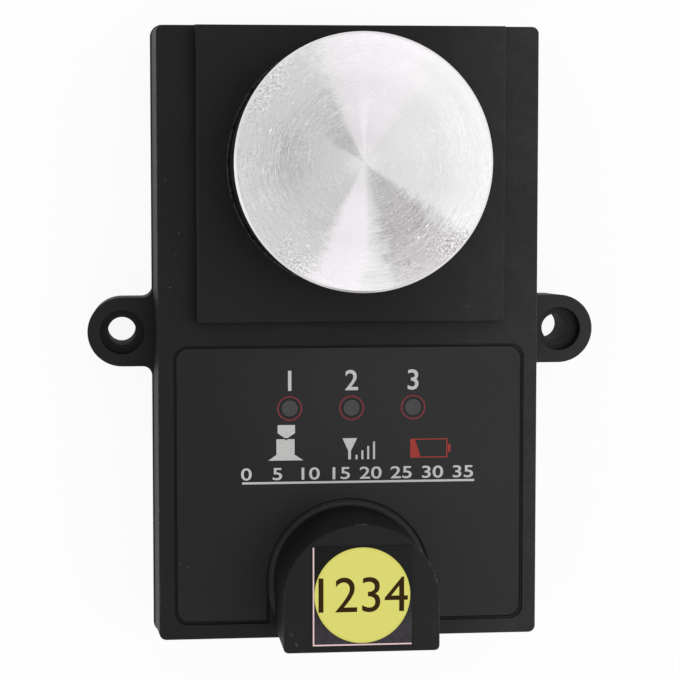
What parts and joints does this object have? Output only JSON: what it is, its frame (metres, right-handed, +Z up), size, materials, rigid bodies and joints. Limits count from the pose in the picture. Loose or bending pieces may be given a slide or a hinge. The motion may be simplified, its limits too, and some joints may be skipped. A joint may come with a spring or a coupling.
{
  "type": "tool setter",
  "caption": "Battery-powered radio tool setter: black moulded case with two screw lugs, recessed front label, battery tower and a sprung turned aluminium contact disc.",
  "frame": {"origin": "centre of the case's footprint on the surface that it stands on, midway between the lug holes", "axes": "+Z up, the way the contact disc faces; +X across the case through both lugs; +Y along the case towards the disc, with the battery tower at -Y"},
  "size_m": [0.0866, 0.1032, 0.042],
  "materials": {
    "case_plastic": "fine matt moulded texture",
    "black_moulding": "satin moulded",
    "disc_aluminium": "fine turned face",
    "steel": "ground",
    "screw_steel": "black oxide",
    "spring_steel": "drawn wire",
    "bronze": "sintered",
    "seal_rubber": "matt",
    "board_laminate": "solder resist",
    "chip_plastic": "matt",
    "lamp_lens": "clear",
    "pipe_plastic": "frosted grey",
    "can_metal": "tinned",
    "copper_wire": "plated",
    "cell_wrap": "shrink sleeve",
    "label_film": "satin film",
    "tower_film": "glossy film",
    "yellow_paper": "paper sticker"
  },
  "bodies": {
    "housing": {"lower_case": "case_plastic", "upper_case": "case_plastic", "case_gasket": "seal_rubber", "case_screws": "screw_steel", "guide_bush": "bronze", "stop_bumper": "seal_rubber", "return_spring": "spring_steel", "wiper_seal": "seal_rubber", "optical_sensor": "chip_plastic", "main_board": "board_laminate", "board_screws": "steel", "indicator_leds": "lamp_lens", "light_pipe_left": "pipe_plastic", "light_pipe_middle": "pipe_plastic", "light_pipe_right": "pipe_plastic", "controller_chip": "chip_plastic", "radio_module": "can_metal", "antenna": "copper_wire", "battery": "cell_wrap", "positive_contact": "spring_steel", "negative_contact": "spring_steel", "battery_spring": "spring_steel", "battery_door": "case_plastic", "door_seal": "seal_rubber", "door_screws": "screw_steel", "front_label": "label_film", "tower_label": "tower_film", "round_sticker": "yellow_paper"},
    "plunger": {"contact_disc": "disc_aluminium", "plunger_cup": "black_moulding", "disc_screws": "screw_steel", "plunger_stem": "steel", "stop_washer": "steel", "stem_clip": "spring_steel", "shutter_pin": "steel"}
  },
  "joints": [
    {"name": "disc_press", "type": "slide", "parent": "housing", "child": "plunger", "axis": [0, 0, 1], "range_m": [-0.005, 0], "stiffness_N_per_m": 800, "springref_m": 0.004, "deforming": ["return_spring"]}
  ]
}
